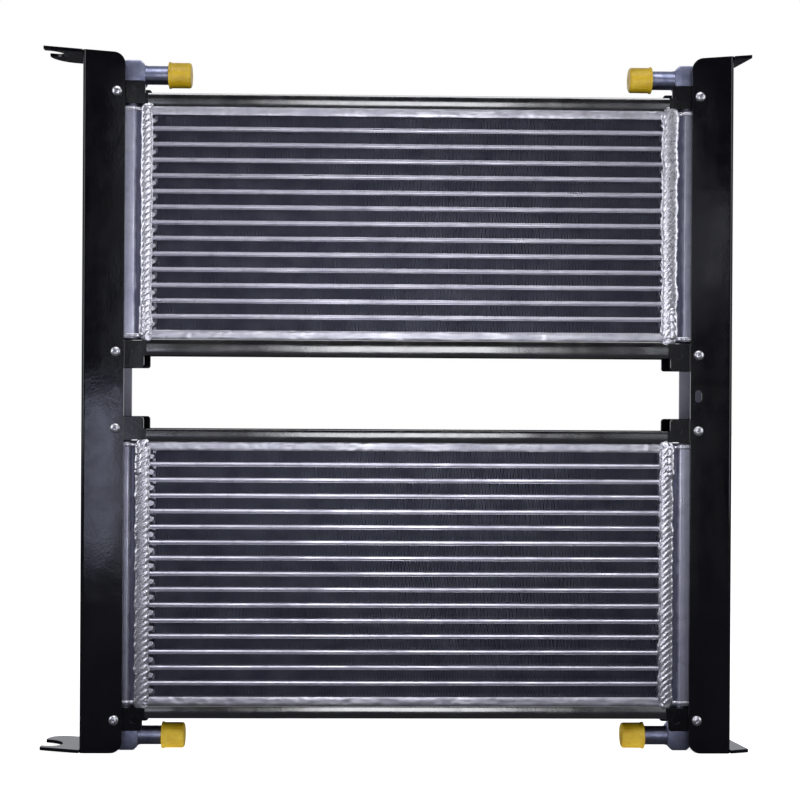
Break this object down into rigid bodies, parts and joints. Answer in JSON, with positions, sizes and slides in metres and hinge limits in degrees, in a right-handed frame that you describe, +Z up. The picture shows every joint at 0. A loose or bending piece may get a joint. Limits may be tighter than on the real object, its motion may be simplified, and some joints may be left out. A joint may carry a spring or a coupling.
{
  "type": "hydraulic oil cooler",
  "caption": "Bar-and-plate oil coolers, one above the other, in a black steel frame with notched feet, with capped elbow ports at the corners.",
  "frame": {"origin": "bottom centre of the whole object's box, on the surface that the lower feet stand on", "axes": "+Z up, +X to the right seen from the front, the front faces -Y"},
  "size_m": [0.71, 0.0676, 0.7051],
  "materials": {
    "frame_paint": "gloss",
    "screw_zinc": "bright zinc",
    "core_aluminium": "satin, brazed",
    "tank_aluminium": "satin, extruded",
    "fitting_zinc": "zinc plated",
    "seal_rubber": "matte",
    "cap_plastic": "moulded, semi gloss"
  },
  "bodies": {
    "cooler": {"rail_left": "frame_paint", "rail_right": "frame_paint", "foot_top_left": "frame_paint", "foot_top_right": "frame_paint", "foot_bottom_left": "frame_paint", "foot_bottom_right": "frame_paint", "cross_bar_upper_top": "frame_paint", "cross_bar_upper_bottom": "frame_paint", "cross_bar_lower_top": "frame_paint", "cross_bar_lower_bottom": "frame_paint", "screw_front_upper_top_left": "screw_zinc", "screw_front_upper_top_right": "screw_zinc", "screw_front_upper_bottom_left": "screw_zinc", "screw_front_upper_bottom_right": "screw_zinc", "screw_front_lower_top_left": "screw_zinc", "screw_front_lower_top_right": "screw_zinc", "screw_front_lower_bottom_left": "screw_zinc", "screw_front_lower_bottom_right": "screw_zinc", "screw_rear_upper_top_left": "screw_zinc", "screw_rear_upper_top_right": "screw_zinc", "screw_rear_upper_bottom_left": "screw_zinc", "screw_rear_upper_bottom_right": "screw_zinc", "screw_rear_lower_top_left": "screw_zinc", "screw_rear_lower_top_right": "screw_zinc", "screw_rear_lower_bottom_left": "screw_zinc", "screw_rear_lower_bottom_right": "screw_zinc", "core_upper": "core_aluminium", "core_lower": "core_aluminium", "side_plate_upper_top": "core_aluminium", "side_plate_upper_bottom": "core_aluminium", "side_plate_lower_top": "core_aluminium", "side_plate_lower_bottom": "core_aluminium", "tank_upper_left": "tank_aluminium", "tank_upper_right": "tank_aluminium", "tank_lower_left": "tank_aluminium", "tank_lower_right": "tank_aluminium", "tank_end_upper_left_top": "tank_aluminium", "tank_end_upper_left_bottom": "tank_aluminium", "tank_end_upper_right_top": "tank_aluminium", "tank_end_upper_right_bottom": "tank_aluminium", "tank_end_lower_left_top": "tank_aluminium", "tank_end_lower_left_bottom": "tank_aluminium", "tank_end_lower_right_top": "tank_aluminium", "tank_end_lower_right_bottom": "tank_aluminium", "elbow_upper_left": "fitting_zinc", "elbow_upper_right": "fitting_zinc", "elbow_lower_left": "fitting_zinc", "elbow_lower_right": "fitting_zinc", "seal_upper_left": "seal_rubber", "seal_upper_right": "seal_rubber", "seal_lower_left": "seal_rubber", "seal_lower_right": "seal_rubber"},
    "thread_cap_upper_left": {"cap_upper_left": "cap_plastic"},
    "thread_cap_upper_right": {"cap_upper_right": "cap_plastic"},
    "thread_cap_lower_left": {"cap_lower_left": "cap_plastic"},
    "thread_cap_lower_right": {"cap_lower_right": "cap_plastic"}
  },
  "joints": [
    {"name": "cap_upper_left_pull", "type": "slide", "parent": "cooler", "child": "thread_cap_upper_left", "axis": [1, 0, 0], "range_m": [0, 0.03]},
    {"name": "cap_upper_right_pull", "type": "slide", "parent": "cooler", "child": "thread_cap_upper_right", "axis": [-1, 0, 0], "range_m": [0, 0.03]},
    {"name": "cap_lower_left_pull", "type": "slide", "parent": "cooler", "child": "thread_cap_lower_left", "axis": [1, 0, 0], "range_m": [0, 0.03]},
    {"name": "cap_lower_right_pull", "type": "slide", "parent": "cooler", "child": "thread_cap_lower_right", "axis": [-1, 0, 0], "range_m": [0, 0.03]}
  ]
}
